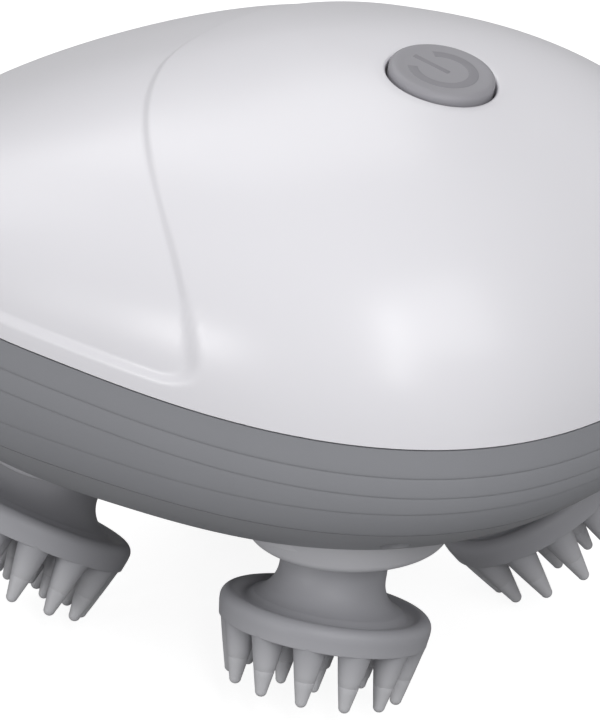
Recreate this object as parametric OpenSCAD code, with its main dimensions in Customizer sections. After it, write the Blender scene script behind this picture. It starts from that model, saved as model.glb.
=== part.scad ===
// Electric scalp massager: a palm-sized pearl dome over a terraced grip band, with four spinning
// silicone heads below. Each head sits canted on its own splayed shaft. One worm-driven bevel gear
// in the middle turns the four shafts. Millimetres, +Z up, +X towards the power button.
// The part stands on its lowest claw tips at z = 0.

/* [Body] */
// Half of the body's length at the parting line
half_length = 62.4; // [58:0.1:68]
// Half of the body's width at the parting line
half_width = 52; // [49:0.1:58]
// Power of the oval outline: 2 is an ellipse, more is squarer
oval_power = 2.6; // [2.2:0.1:3.2]
// Height of the parting line above the head pivots, at mid length
parting_rise = 32.6; // [31:0.1:38]
// Fall of the parting line towards the button end, per unit of length
parting_slope = 0.06; // [0.02:0.01:0.1]

/* [Dome] */
// Rise of the dome above the parting line, at the middle
dome_rise = 33.4; // [31:0.1:38]
// How much fuller the button end is than the tail
dome_lean = 0.41; // [0.3:0.01:0.45]
// Flattening of both ends
dome_sag = -0.22; // [-0.3:0.01:-0.1]
// Roundness of the crown
crown_power = 1.67; // [1.5:0.01:2.2]
// Roundness of the shoulder
shoulder_power = 2.48; // [2:0.01:3]
// Wall of the dome
dome_wall = 2.2; // [1.8:0.1:3]
// Depth of the recessed palm panel
panel_depth = 0.8; // [0.4:0.1:1.2]
// Place of the panel's edge on the centre line
panel_front = -16; // [-22:0.5:-10]
// Sweep of the panel's edge towards the button end
panel_sweep = 0.0125; // [0.009:0.0005:0.015]
// Height of the panel's lower edge above the parting line
panel_margin = 3.6; // [2.5:0.1:6]

/* [Lower housing] */
// Depth that the underside would reach if it weren't cut flat
hull_depth = 41; // [38:0.5:46]
// How much deeper the tail is than the button end
hull_lean = -0.19; // [-0.25:0.01:-0.1]
// Sharpness of the turn into the underside
hull_power = 3; // [2.6:0.1:3.4]
// Height of the flat underside above the head pivots
underside_rise = 7; // [6:0.1:8]
// Wall of the lower housing
housing_wall = 2; // [1.6:0.1:2.6]
// Thickness of the flat floor
floor_thickness = 2.4; // [2:0.1:3]

/* [Grip band] */
// Thickness of the silicone band
band_thickness = 1.6; // [1.2:0.1:2.2]
// Step from one terrace to the next
terrace_step = 0.3; // [0.15:0.05:0.5]
// Height of the band's lower edge above the head pivots
band_foot = 14.8; // [13:0.1:16]

/* [Head layout] */
// Distance of each head pivot from the centre lines
head_offset = 23.7; // [23.3:0.1:24.5]
// Outward lean of each output shaft
shaft_splay = 19.6; // [18.5:0.1:21]
// Cant of each head on its shaft
head_cant = 13.6; // [8:0.1:14.5]
// Depth below the pivot where a head's own axis crosses its shaft's
cant_drop = 5.2; // [4:0.1:5.5]

/* [Massage heads] */
// Radius of the neck
neck_radius = 7.5; // [7:0.1:7.8]
// Distance from the pivot down to the rim's ridge
ridge_drop = 5.65; // [5:0.05:7]
// Largest radius of the head
rim_radius = 14.9; // [13.5:0.1:16]
// Height of the skirt below the ridge
skirt_height = 3.9; // [3:0.1:5]
// Length of a claw below the skirt
claw_length = 8.7; // [7:0.1:10]
// Radius of an outer claw at its root
claw_root_radius = 2.45; // [2:0.05:2.5]
// Radius of a claw's rounded tip
claw_tip_radius = 0.85; // [0.7:0.05:1.1]
// Claws in the outer ring
outer_claws = 12; // [8:1:12]
// Claws in the inner ring
inner_claws = 8; // [5:1:8]

/* [Gears] */
// Teeth of the central bevel gear and of each shaft's gear
bevel_teeth = 20; // [16:4:24]
// Pitch radius of the bevel gears at their large end
bevel_radius = 13.4; // [12.5:0.1:14]
// Face width of the bevel gears
bevel_face = 4.5; // [3.5:0.1:5]
// Module of the worm and its wheel
worm_module = 1; // [0.9:0.05:1.1]
// Teeth of the worm wheel
wheel_teeth = 32; // [28:1:34]
// Pitch radius of the worm
worm_radius = 4.5; // [4:0.1:5]
// Length of the threaded part of the worm
worm_length = 14; // [11:0.5:15]
// Play between two teeth on the pitch circle
tooth_play = 0.3; // [0.25:0.05:0.4]
// Radius of the steel shafts
shaft_radius = 2; // [1.8:0.1:2.4]

/* [Button] */
// Distance of the button from the centre, towards the button end
button_place = 24.1; // [20:0.5:28]
// Radius of the button
button_radius = 7.5; // [6.5:0.1:8.5]
// Gap all round the button
button_gap = 0.35; // [0.25:0.05:0.5]
// Height of the button over the dome
button_proud = 0.9; // [0.6:0.1:1.4]
// Travel of the button
button_travel = 0.6; // [0.4:0.1:0.8]

/* [Power] */
// Radius of the battery cell
cell_radius = 7.1; // [6:0.1:7.3]
// Length of the battery cell
cell_length = 50; // [40:0.5:51]
// Radius of the round side of the motor can
motor_radius = 10; // [9:0.1:10.5]
// Height of the motor can across its flats
motor_height = 15.4; // [14:0.1:15.6]
// Length of the motor can
motor_length = 23; // [20:0.5:24]

/* [Fits] */
// Radial clearance of a shaft in its bush
running_gap = 0.04; // [0.02:0.01:0.08]
// Clearance between pieces that are fitted together
seat_gap = 0.05; // [0.03:0.01:0.1]

/* [Output] */
// Sub-part to draw

/* [Hidden] */
$fn = 48;
eps = 0.01;

// The four corners: front right, front left, rear left, rear right, with +X as the front.
CORNERS = ["front_right", "front_left", "rear_left", "rear_right"];
corner_azimuth = [-45, 45, 135, -135];
// Where each head stands in its turn: the way it leans, counted from straight outwards.
head_phase = [-133, -17, 80, 67];
// Turn of each head's claw rings, chosen to stand as in the photograph.
claw_turn = [12, 0, 0, 21];

// ---- Heights -------------------------------------------------------------------------------

skirt_drop = ridge_drop + skirt_height;
tip_drop = skirt_drop + claw_length;
outer_ring_radius = rim_radius - 0.3 - claw_root_radius;
outer_tip_radius = outer_ring_radius - 0.2;

// A point of a head's own frame, turned by the cant, the phase and the splay: its height.
function splayed_height(p, phase) =
    let (down = p[2] + cant_drop,
         x1 = p[0] * cos(head_cant) - down * sin(head_cant),
         z1 = p[0] * sin(head_cant) + down * cos(head_cant) - cant_drop,
         x2 = x1 * cos(phase) - p[1] * sin(phase))
    x2 * sin(shaft_splay) + z1 * cos(shaft_splay);

function tip_height(corner, claw) =
    let (turn = claw_turn[corner] - head_phase[corner] + 360 * claw / outer_claws)
    splayed_height([outer_tip_radius * cos(turn), outer_tip_radius * sin(turn),
                    claw_tip_radius - tip_drop], head_phase[corner]) - claw_tip_radius;

pivot_height = -min([for (corner = [0 : 3], claw = [0 : outer_claws - 1]) tip_height(corner, claw)]);
underside_height = pivot_height + underside_rise;
floor_top = underside_height + floor_thickness;
parting_height = pivot_height + parting_rise;

// ---- Body surfaces ---------------------------------------------------------------------------

rim_steps = 52;

function signed_power(v, p) = sign(v) * pow(abs(v), p);
function oval_x(t) = signed_power(cos(t), 2 / oval_power);
function oval_y(t) = signed_power(sin(t), 2 / oval_power);
function parting_at(x) = parting_height - parting_slope * x;
function oval_point(t, share, inset) =
    [(half_length * share - inset) * oval_x(t), (half_width * share - inset) * oval_y(t)];

// Dome: height over the parting line at a share of the way out from the middle.
function dome_height(u, share, inset) =
    (dome_rise - inset) * (1 + dome_lean * u + dome_sag * u * u)
    * pow(1 - pow(share, crown_power), 1 / shoulder_power);
function dome_share(step, steps) =
    pow(1 - pow(cos(90 * step / steps), shoulder_power), 1 / crown_power);
function dome_ring(share, inset) =
    [for (k = [0 : rim_steps - 1])
        let (t = 360 * k / rim_steps, p = oval_point(t, 1, inset) * share)
        [p[0], p[1], parting_at(p[0]) + dome_height(share * oval_x(t), share, inset)]];
function dome_at(x, y, inset) =
    let (u = x / half_length,
         share = pow(pow(abs(x) / (half_length - inset), oval_power)
                     + pow(abs(y) / (half_width - inset), oval_power), 1 / oval_power))
    parting_at(x) + dome_height(u, min(share, 1), inset);

// Underside: share of the outline that is left at a depth below the parting line.
function hull_share(t, depth) =
    1 - pow(max(depth, 0) / (hull_depth * (1 + hull_lean * oval_x(t))), hull_power);

// A level is a height over the pivots at mid length and its fall towards the button end.
parting_level = [parting_rise, parting_slope];
terrace_levels = [parting_level, [parting_rise - 4.3, 0.06], [parting_rise - 7.7, 0.055],
    [(parting_rise - 7.7 + band_foot) / 2, 0.01], [band_foot, 0]];
underside_level = [underside_rise, 0];
function level_height(level, x) = pivot_height + level[0] - level[1] * x;
function between(a, b, f) = a * (1 - f) + b * f;

function hull_ring(level, inset) =
    [for (k = [0 : rim_steps - 1])
        let (t = 360 * k / rim_steps,
             z0 = level_height(level, half_length * oval_x(t)),
             depth = parting_at(half_length * oval_x(t)) - z0,
             p = oval_point(t, hull_share(t, depth), inset))
        [p[0], p[1], level_height(level, p[0])]];

// ---- Lofts -------------------------------------------------------------------------------------

function ring_faces(count, closed) =
    [for (i = [0 : (closed ? count - 1 : count - 2)], j = [0 : rim_steps - 1], half = [0, 1])
        let (up = (i + 1) % count, next = (j + 1) % rim_steps,
             a = i * rim_steps + j, b = i * rim_steps + next,
             c = up * rim_steps + next, d = up * rim_steps + j)
        half == 0 ? [a, d, c] : [a, c, b]];

// Solid through rings listed from the bottom up, closed by a fan at each end.
module solid_loft(rings, bottom, top) {
    count = len(rings);
    low = count * rim_steps;
    caps = [for (j = [0 : rim_steps - 1], end = [0, 1])
        let (next = (j + 1) % rim_steps, last = (count - 1) * rim_steps)
        end == 0 ? [j, next, low] : [last + next, last + j, low + 1]];
    polyhedron(points = concat([for (ring = rings) each ring], [bottom, top]),
        faces = concat(ring_faces(count, false), caps), convexity = 6);
}

// Hoop through rings listed outside from the bottom up and then inside from the top down.
module hoop_loft(rings) {
    polyhedron(points = [for (ring = rings) each ring], faces = ring_faces(len(rings), true),
        convexity = 8);
}

module dome_solid(inset, skirt = 0, steps = 11) {
    base = dome_ring(1, inset);
    rings = concat(
        skirt > 0 ? [[for (p = base) p - [0, 0, skirt]]] : [],
        [for (i = [steps : -1 : 1]) dome_ring(dome_share(i, steps), inset)]);
    solid_loft(rings, [0, 0, parting_height - skirt], [0, 0, parting_height + dome_rise - inset]);
}

// Levels of the hull between the parting line and the underside, the ledge among them.
band_levels = [for (i = [0 : 3], f = [0, 0.5]) between(terrace_levels[i], terrace_levels[i + 1], f)];
belly_shares = [0, 0.2, 0.4, 0.65, 0.85, 1];
function belly_level(f) = between(underside_level, terrace_levels[4], f);

// The hull is drawn in by band_inset from the belly share `step` upwards, for the band to lie in.
module hull_solid(inset, band_inset, step = 1, rise = 0) {
    lower = [for (f = belly_shares) if (f <= step) hull_ring(belly_level(f), inset)];
    waist = [for (f = belly_shares) if (f >= step) hull_ring(belly_level(f), inset + band_inset)];
    upper = [for (i = [len(band_levels) - 1 : -1 : 0])
        hull_ring(band_levels[i] + (i == 0 ? [rise, 0] : [0, 0]), inset + band_inset)];
    solid_loft(concat(lower, waist, upper),
        [0, 0, underside_height], [0, 0, parting_height + rise]);
}

module above(height) {
    translate([-100, -100, height]) cube([200, 200, 200]);
}

// Hoop of rectangular section that follows the parting line.
module parting_hoop(outer_inset, inner_inset, top_depth, bottom_depth) {
    function rim(inset, depth) = [for (p = dome_ring(1, inset)) p - [0, 0, depth]];
    hoop_loft([rim(outer_inset, bottom_depth), rim(outer_inset, top_depth),
        rim(inner_inset, top_depth), rim(inner_inset, bottom_depth)]);
}

// ---- Frames ------------------------------------------------------------------------------------

module at_pivot(corner) {
    azimuth = corner_azimuth[corner];
    translate([head_offset * sign(cos(azimuth)), head_offset * sign(sin(azimuth)), pivot_height])
        rotate([0, 0, azimuth]) rotate([0, -shaft_splay, 0]) children();
}

module at_head(corner) {
    at_pivot(corner) translate([0, 0, -cant_drop]) rotate([0, 0, head_phase[corner]])
        rotate([0, -head_cant, 0]) rotate([0, 0, claw_turn[corner] - head_phase[corner]])
        translate([0, 0, cant_drop]) children();
}

// The button's own frame: origin on the dome, +Z out along the button's travel.
slope_reach = 0.5;
button_lean = atan2(dome_at(button_place - slope_reach, 0, 0) - dome_at(button_place + slope_reach, 0, 0),
    2 * slope_reach);
button_height = dome_at(button_place, 0, 0);
module at_button() {
    translate([button_place, 0, button_height]) rotate([0, button_lean, 0]) children();
}

module tube(outer, inner, bottom, top) {
    translate([0, 0, bottom]) difference() {
        cylinder(r = outer, h = top - bottom);
        translate([0, 0, -eps]) cylinder(r = inner, h = top - bottom + 2 * eps);
    }
}

module rod(radius, bottom, top) {
    translate([0, 0, bottom]) cylinder(r = radius, h = top - bottom);
}

// ---- Gear train sizes --------------------------------------------------------------------------

// The shafts' axes meet in one apex over the body, which all five bevel cones share.
pivot_reach = head_offset * sqrt(2);
apex_rise = pivot_reach / tan(shaft_splay);
apex_distance = pivot_reach / sin(shaft_splay);
cone_angle = shaft_splay / 2;
cone_length = bevel_radius / tan(cone_angle);
bevel_module = 2 * bevel_radius / bevel_teeth;
sun_height = pivot_height + apex_rise - cone_length;
gear_rise = apex_distance - cone_length;

// Chassis plate at the parting line, above the tilted gears.
chassis_height = parting_height;
chassis_thickness = 2;
chassis_top = chassis_height + chassis_thickness;
wheel_radius = worm_module * wheel_teeth / 2;
wheel_face = 5;
wheel_lift = 2.1;
wheel_bottom = chassis_top + wheel_lift;
worm_height = wheel_bottom + wheel_face / 2;
worm_offset = wheel_radius + worm_radius;
worm_lead = PI * worm_module;

bush_radius = shaft_radius + 2;
bush_bottom = 9.5;
bush_top = 17;
seal_bottom = 7;
pocket_bottom = gear_rise + bevel_face + 0.75;
shaft_top = pocket_bottom + 4.6;
pocket_top = shaft_top + 1.5;

// Fixing posts between the floor and the chassis, and towers for the long housing screws.
post_places = [[0, 32], [0, -32], [38, 0], [-27.5, 0]];
post_radius = 3;
function post_top(p) = min(chassis_height, parting_at(p[0] + post_radius));
tower_places = [for (sx = [1, -1], sy = [1, -1]) [sx * (half_length - 21.4), sy * (half_width - 19)]];
tower_radius = 4;
screw_radius = 1.25;
screw_head_radius = 2.6;
screw_head_height = 1.8;
tower_seat = floor_top + 12;

// ---- Housing -----------------------------------------------------------------------------------

module panel_region() {
    reach = half_width + 6;
    edge = [for (y = [-reach : reach / 16 : reach]) [panel_front + panel_sweep * y * y, y]];
    intersection() {
        translate([0, 0, parting_height]) linear_extrude(height = 60, center = true)
            polygon(concat(edge, [[-half_length - 10, reach], [-half_length - 10, -reach]]));
        rotate([0, atan(parting_slope), 0])
            above((parting_height + panel_margin) * cos(atan(parting_slope)));
    }
}

board_depth = 9.5;
board_thickness = 1.6;
board_boss_place = 13;

module top_shell() {
    color([0.88, 0.88, 0.9]) difference() {
        dome_solid(0);
        difference() {
            panel_region();
            dome_solid(panel_depth, skirt = 1);
        }
        difference() {
            dome_solid(dome_wall, skirt = 1, steps = 8);
            for (p = tower_places) translate([p[0], p[1], parting_at(p[0])])
                cylinder(r = tower_radius, h = dome_rise);
            at_button() for (side = [1, -1]) translate([0, side * board_boss_place, -board_depth])
                cylinder(r = 2.6, h = board_depth);
        }
        at_button() rod(button_radius + button_gap, -6, 6);
        for (p = tower_places) translate([p[0], p[1], parting_at(p[0]) - eps])
            cylinder(r = screw_radius, h = 9);
        at_button() for (side = [1, -1])
            translate([0, side * board_boss_place, -board_depth - eps]) cylinder(r = 0.9, h = 5);
    }
}

module grip_band() {
    outer = [for (i = [3 : -1 : 0], f = [1, 0.5, 0])
        hull_ring(between(terrace_levels[i], terrace_levels[i + 1], f), i * terrace_step
            - (f == 0 ? 0 : terrace_step * 0.4))];
    inner = [for (i = [0 : len(band_levels) - 1]) hull_ring(band_levels[i], band_thickness)];
    color([0.5, 0.5, 0.52]) difference() {
        hoop_loft(concat(outer, inner, [hull_ring(terrace_levels[4], band_thickness)]));
        at_port() port_slot(port_width + 2, port_tall + 2, -5, 6);
    }
}

cup_hole_radius = 13;
port_height = parting_height - 12;
port_width = 9;
port_tall = 3.4;

// The charging port's frame: origin on the tail end of the band, +X into the housing.
module at_port() {
    share = hull_share(180, parting_at(-half_length) - port_height);
    translate([-half_length * share, 0, port_height]) children();
}

// Slot with round ends, from one depth to another along the port's own X.
module port_slot(width, tall, from, to) {
    translate([from, 0, 0]) rotate([90, 0, 90]) linear_extrude(height = to - from) union() {
        square([width - tall, tall], center = true);
        for (side = [1, -1]) translate([side * (width - tall) / 2, 0]) circle(d = tall);
    }
}

module lower_housing() {
    color([0.46, 0.46, 0.48]) difference() {
        hull_solid(0, band_thickness + seat_gap);
        difference() {
            intersection() {
                hull_solid(housing_wall, band_thickness, step = 0.65, rise = 1);
                above(floor_top);
            }
            for (p = tower_places) translate([p[0], p[1], 0])
                rod(tower_radius, underside_height, parting_at(p[0]));
            for (p = post_places) translate([p[0], p[1], 0])
                rod(post_radius, floor_top - 1, post_top(p));
            rod(bush_radius + 2, floor_top - 1, lower_bush_top);
        }
        parting_hoop(band_thickness + 0.5, band_thickness + 1.5, -1, 1);
        for (corner = [0 : 3]) at_pivot(corner) rod(cup_hole_radius + seat_gap, 0, 30);
        for (p = tower_places) translate([p[0], p[1], 0]) {
            rod(screw_head_radius + 0.3, 0, tower_seat);
            rod(screw_radius + 0.2, 0, parting_height + 20);
        }
        for (p = post_places) translate([p[0], p[1], 0])
            rod(screw_radius, chassis_height - 9, chassis_height + 1);
        rod(bush_radius, floor_top, sun_height);
        at_port() port_slot(port_width, port_tall, 0, 14);
    }
}

module seal_ring() {
    color([0.2, 0.2, 0.22]) parting_hoop(band_thickness + 0.5 + seat_gap, band_thickness + 1.5 - seat_gap,
        seat_gap, 1 - seat_gap);
}

module screw(shank, drive_radius = 1.3) {
    difference() {
        union() {
            rod(screw_radius, 0, shank);
            rod(screw_head_radius, -screw_head_height, 0);
        }
        rod(drive_radius, -screw_head_height - eps, -screw_head_height / 2);
    }
}

module housing_screws() {
    color([0.7, 0.7, 0.72]) for (p = tower_places)
        translate([p[0], p[1], tower_seat]) screw(parting_at(p[0]) + 7 - tower_seat);
}

// ---- Bearing cups --------------------------------------------------------------------------------

// Each cup closes its hole with a flat fairing under the housing. The fairing stands a little
// towards the button end and the middle from its shaft, and the head's neck goes through its mouth.
mouth_radius = neck_radius + 1.9;
fairing_radius = 14.2;
fairing_height = 3;
fairing_shift = [2.4, 1.9];
fairing_round = 1.2;
cup_wall = 2;
web_height = underside_height + 1.7;
web_thickness = 2;
boss_radius = bush_radius + 1.6;

module slab(bottom, top) {
    translate([-100, -100, bottom]) cube([200, 200, top - bottom]);
}

// Distance of the shaft's axis from the centre lines at a height over the pivot.
function shaft_reach(rise) = head_offset - rise * tan(shaft_splay) * sqrt(0.5);

module bearing_cup(corner) {
    azimuth = corner_azimuth[corner];
    foot = underside_rise - fairing_height;
    reach = shaft_reach(foot);
    color([0.6, 0.6, 0.63]) difference() {
        union() {
            intersection() {
                at_pivot(corner) tube(cup_hole_radius, cup_hole_radius - cup_wall, 0, 20);
                slab(underside_height - 0.6, web_height + web_thickness);
            }
            intersection() {
                at_pivot(corner) rod(cup_hole_radius, 0, 20);
                slab(web_height, web_height + web_thickness);
            }
            at_pivot(corner) rod(boss_radius, seal_bottom, bush_top);
            difference() {
                translate([sign(cos(azimuth)) * reach + fairing_shift[0],
                           sign(sin(azimuth)) * (reach - fairing_shift[1]), pivot_height + foot])
                    rotate_extrude() polygon(concat([[0, 0]],
                        arc([fairing_radius - fairing_round, fairing_round], fairing_round, -90, 0, 4),
                        [[fairing_radius, fairing_height - seat_gap], [0, fairing_height - seat_gap]]));
                at_pivot(corner) rod(mouth_radius, -2, 16);
            }
        }
        at_pivot(corner) rod(bush_radius, seal_bottom - eps, bush_top + 1);
    }
}

module shaft_bushes() {
    color([0.78, 0.6, 0.3]) for (corner = [0 : 3])
        at_pivot(corner) tube(bush_radius, shaft_radius + running_gap, bush_bottom, bush_top);
}

module shaft_seals() {
    color([0.15, 0.15, 0.16]) for (corner = [0 : 3])
        at_pivot(corner) tube(bush_radius, shaft_radius + running_gap, seal_bottom, bush_bottom - seat_gap);
}

// ---- Chassis ---------------------------------------------------------------------------------------

axle_bottom = floor_top + 0.6;
lower_bush_top = sun_height - 2.8;
wheel_hub_radius = 5;
axle_top = wheel_bottom + wheel_face + 2;
motor_front = worm_length / 2 + 7.5;
cradle_end = -worm_length / 2 - 4.5;

module chassis_outline() {
    steps = 48;
    polygon([for (k = [0 : steps - 1]) let (t = 360 * k / steps)
        [7.5 + 38.5 * signed_power(cos(t), 0.5), 36 * signed_power(sin(t), 0.5)]]);
}

module chassis() {
    color([0.85, 0.85, 0.82]) difference() {
        union() {
            translate([0, 0, chassis_height]) linear_extrude(height = chassis_thickness) chassis_outline();
            for (corner = [0 : 3]) intersection() {
                at_pivot(corner) rod(bush_radius + 0.6, pocket_bottom, pocket_top + 6);
                translate([0, 0, chassis_top - 50]) cube([200, 200, 100], center = true);
            }
            rod(bush_radius + 1.6, chassis_height - 3, chassis_top);
            for (p = post_places) translate([p[0], p[1], 0]) rod(post_radius, post_top(p), chassis_top);
            // Saddle under the motor, its front wall, and the worm's end bearing.
            translate([motor_front - 2, worm_offset - motor_radius - 2, chassis_height])
                cube([motor_length + 2, 2 * motor_radius + 4, worm_height - chassis_height]);
            translate([cradle_end - 2, worm_offset - 4, chassis_height])
                cube([3.5, 8, worm_height + 4 - chassis_height]);
        }
        for (corner = [0 : 3]) at_pivot(corner)
            rod(shaft_radius + running_gap, 0, shaft_top + 0.5);
        rod(bush_radius, chassis_height - 4, chassis_top + 1);
        translate([motor_front, worm_offset, worm_height]) motor_can(seat_gap);
        translate([0, worm_offset, worm_height]) rotate([0, 90, 0]) {
            rod(4.2, worm_length / 2, motor_front + 1);
            rod(1 + running_gap, cradle_end - 1, cradle_end + 10);
        }
        translate([-10, worm_offset - worm_radius - 2.6, chassis_height - 1])
            cube([18, 2 * worm_radius + 5.2, chassis_thickness + 2]);
        for (p = post_places) translate([p[0], p[1], 0])
            rod(screw_radius + 0.2, chassis_height - 5, chassis_top + 1);
        for (p = tower_places) translate([p[0], p[1], 0])
            rod(tower_radius + 0.3, chassis_height - 5, chassis_height + 30);
        rod(wheel_radius + worm_module + 0.4, chassis_top, chassis_height + 30);
    }
}

module chassis_screws() {
    color([0.7, 0.7, 0.72]) for (p = post_places)
        translate([p[0], p[1], chassis_top]) rotate([180, 0, 0]) screw(8);
}

module drive_bushes() {
    color([0.78, 0.6, 0.3]) {
        tube(bush_radius, shaft_radius + running_gap, floor_top, lower_bush_top);
        tube(bush_radius, shaft_radius + running_gap, chassis_height - 3, chassis_top);
    }
}

// ---- Gears -----------------------------------------------------------------------------------------

// One tooth's outline points on a gear of the given pitch radius, with straight-sided flanks that
// follow the involute at the root, the pitch circle and the tip.
function involute_turn(radius, base) = radius <= base ? 0
    : (sqrt(radius * radius / (base * base) - 1) * 180 / PI) - acos(base / radius);

function gear_points(teeth, pitch, play, add, ded) =
    let (size = 2 * pitch / teeth, base = pitch * cos(20),
         half = 90 / teeth - play / 2 / pitch * 180 / PI + involute_turn(pitch, base),
         radii = [pitch - ded * size, pitch, pitch + add * size])
    [for (k = [0 : teeth - 1], side = [-1, 1], i = [0 : len(radii) - 1])
        let (r = side < 0 ? radii[i] : radii[len(radii) - 1 - i],
             a = 360 * k / teeth + side * (half - involute_turn(r, base)))
        [r * cos(a), r * sin(a)]];

// Bevel gear: large end at z = 0, teeth narrowing upwards to the shared apex.
module bevel_gear() {
    linear_extrude(height = bevel_face, scale = 1 - bevel_face / cone_length)
        polygon(gear_points(bevel_teeth, bevel_radius, tooth_play, 0.85, 1.15));
}

module sun_gear() {
    // A tooth points at each corner; the shafts' gears show them a gap.
    color([0.9, 0.9, 0.86]) difference() {
        translate([0, 0, sun_height]) union() {
            rotate([0, 0, 45]) bevel_gear();
            rod(bush_radius + 1, -2.4, 0);
            rod(bush_radius + 1, bevel_face, bevel_face + 2);
        }
        rod(shaft_radius, 0, 200);
    }
}

module shaft_gear(corner) {
    color([0.9, 0.9, 0.86]) at_pivot(corner) difference() {
        translate([0, 0, gear_rise]) union() {
            rotate([0, 0, 180 + 180 / bevel_teeth]) bevel_gear();
            rod(bush_radius, bush_top + 0.3 - gear_rise, 0);
        }
        rod(shaft_radius, 0, 60);
    }
}

wheel_twist = -atan(worm_module / (2 * worm_radius)) * wheel_face / wheel_radius;

module worm_wheel() {
    color([0.9, 0.88, 0.8]) difference() {
        union() {
            translate([0, 0, wheel_bottom]) rotate([0, 0, 90 + wheel_twist / 2 + 180 / wheel_teeth])
                linear_extrude(height = wheel_face, twist = wheel_twist, slices = 1, $fn = 16)
                    polygon(gear_points(wheel_teeth, wheel_radius, tooth_play, 0.9, 1.15));
            rod(wheel_hub_radius, chassis_top + 0.2, wheel_bottom + wheel_face + 1);
        }
        rod(shaft_radius, 0, 200);
        // Lightening recess in the upper face.
        tube(wheel_radius - 3, wheel_hub_radius + 2, wheel_bottom + wheel_face - 1.5,
            wheel_bottom + wheel_face + 2);
    }
}

// Thread section across the worm's axis: its radius at each angle of one turn.
function worm_profile(angle) =
    let (along = abs(((angle + 180) % 360) - 180) / 360 * worm_lead,
         crest = worm_lead / 4 - tooth_play / 2 - worm_module * tan(20),
         rise = (along - crest) / tan(20))
    worm_radius + max(min(worm_module - rise, worm_module), -1.2 * worm_module);

worm_points = 16;
worm_slices_per_turn = 10;
// The thread's crest faces the wheel at mid length, where the wheel shows it a gap.
worm_clock = 270;

module worm() {
    color([0.72, 0.72, 0.74]) translate([0, worm_offset, worm_height]) rotate([0, 90, 0]) {
        translate([0, 0, -worm_length / 2]) rotate([0, 0, worm_clock - 360 * worm_length / 2 / worm_lead])
            linear_extrude(height = worm_length, twist = -360 * worm_length / worm_lead,
                slices = ceil(worm_slices_per_turn * worm_length / worm_lead), $fn = worm_points)
                polygon([for (k = [0 : worm_points - 1]) let (a = 360 * k / worm_points)
                    worm_profile(a) * [cos(a), sin(a)]]);
        rod(1, cradle_end, motor_front + 3);
    }
}

// ---- Shafts and heads ------------------------------------------------------------------------------

hub_radius = 5;
hub_bottom = 7.5;
hub_lip = 0.6;
collar_radius = 3;
shaft_bottom = -2;

module output_shaft(corner) {
    color([0.75, 0.75, 0.77]) at_pivot(corner) rod(shaft_radius, shaft_bottom, shaft_top);
}

module head_hub(corner) {
    color([0.93, 0.93, 0.93]) difference() {
        union() {
            at_pivot(corner) rod(collar_radius, 0.5, seal_bottom - 0.4);
            at_head(corner) rotate([180, 0, 0]) {
                rod(hub_radius - seat_gap, -2, hub_bottom - seat_gap);
                rod(hub_radius + hub_lip - seat_gap, 3.5, 4.5);
            }
        }
        at_pivot(corner) rod(shaft_radius, shaft_bottom, 40);
    }
}

// Half section of the head below the pivot: neck, dished top, rounded ridge and skirt.
function arc(centre, radius, from, to, steps) =
    [for (i = [0 : steps]) let (a = from + (to - from) * i / steps)
        centre + radius * [cos(a), sin(a)]];

ridge_round = 0.8;
dish_depth = 1.1;
head_section = concat(
    [[0, 0]],
    arc([0, 0], neck_radius, 38, 0, 4),
    arc([neck_radius + 4.6, -1.2], 4.6, 180, 250, 7),
    [[rim_radius - 0.9 - 2 * ridge_round, -ridge_drop - dish_depth]],
    arc([rim_radius - 0.25 - ridge_round, -ridge_drop - ridge_round], ridge_round, 150, 10, 6),
    [[rim_radius, -ridge_drop - ridge_round - 0.6], [rim_radius - 0.35, -skirt_drop], [0, -skirt_drop]]);

inner_ring_radius = outer_ring_radius * 0.54;
inner_root_radius = claw_root_radius * 0.86;
inner_drop = tip_drop - 1.2;

module claw(ring, root, tip_ring, drop) {
    reach = skirt_drop - 0.6;
    length = drop - claw_tip_radius - reach;
    lean = atan2(ring - tip_ring, length);
    translate([ring, 0, -reach]) rotate([0, lean, 0]) rotate([180, 0, 0]) {
        cylinder(r1 = root, r2 = claw_tip_radius, h = length / cos(lean));
        translate([0, 0, length / cos(lean)]) sphere(r = claw_tip_radius);
    }
}

module massage_head(corner) {
    color([0.62, 0.62, 0.65]) difference() {
        at_head(corner) union() {
            difference() {
                rotate_extrude() polygon(head_section);
                rotate([180, 0, 0]) {
                    rod(hub_radius, -10, hub_bottom);
                    rod(hub_radius + hub_lip, 3.5 - seat_gap, 4.5 + seat_gap);
                }
            }
            for (k = [0 : outer_claws - 1]) rotate([0, 0, 360 * k / outer_claws])
                claw(outer_ring_radius, claw_root_radius, outer_tip_radius, tip_drop);
            for (k = [0 : inner_claws - 1]) rotate([0, 0, 360 * (k + 0.5) / inner_claws])
                claw(inner_ring_radius, inner_root_radius, inner_ring_radius - 0.2, inner_drop);
            claw(0, inner_root_radius, 0, inner_drop);
        }
        at_pivot(corner) rod(collar_radius + seat_gap, 2, 30);
    }
}

// ---- Button and board ------------------------------------------------------------------------------

flange_radius = button_radius + 1;
flange_height = 1.2;
// The flange's top lies under the lowest point of the dome's inside over it.
flange_top = min([for (a = [0 : 15 : 345])
    let (x = flange_radius * cos(a),
         z = dome_at(button_place + x, flange_radius * sin(a), dome_wall) - button_height)
    x * sin(button_lean) + z * cos(button_lean)]) - 2 * seat_gap;
stem_bottom = -board_depth + 3.6;

module power_button() {
    color([0.6, 0.6, 0.62]) at_button() union() {
        rotate_extrude() polygon(concat([[0, flange_top - flange_height / 2]],
            [[button_radius, flange_top - flange_height / 2]],
            arc([button_radius - 0.8, button_proud - 0.8], 0.8, 0, 80, 5),
            [[button_radius - 3, button_proud], [0, button_proud - 0.15]]));
        rod(flange_radius, flange_top - flange_height, flange_top);
        rod(2, stem_bottom, flange_top);
    }
}

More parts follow.
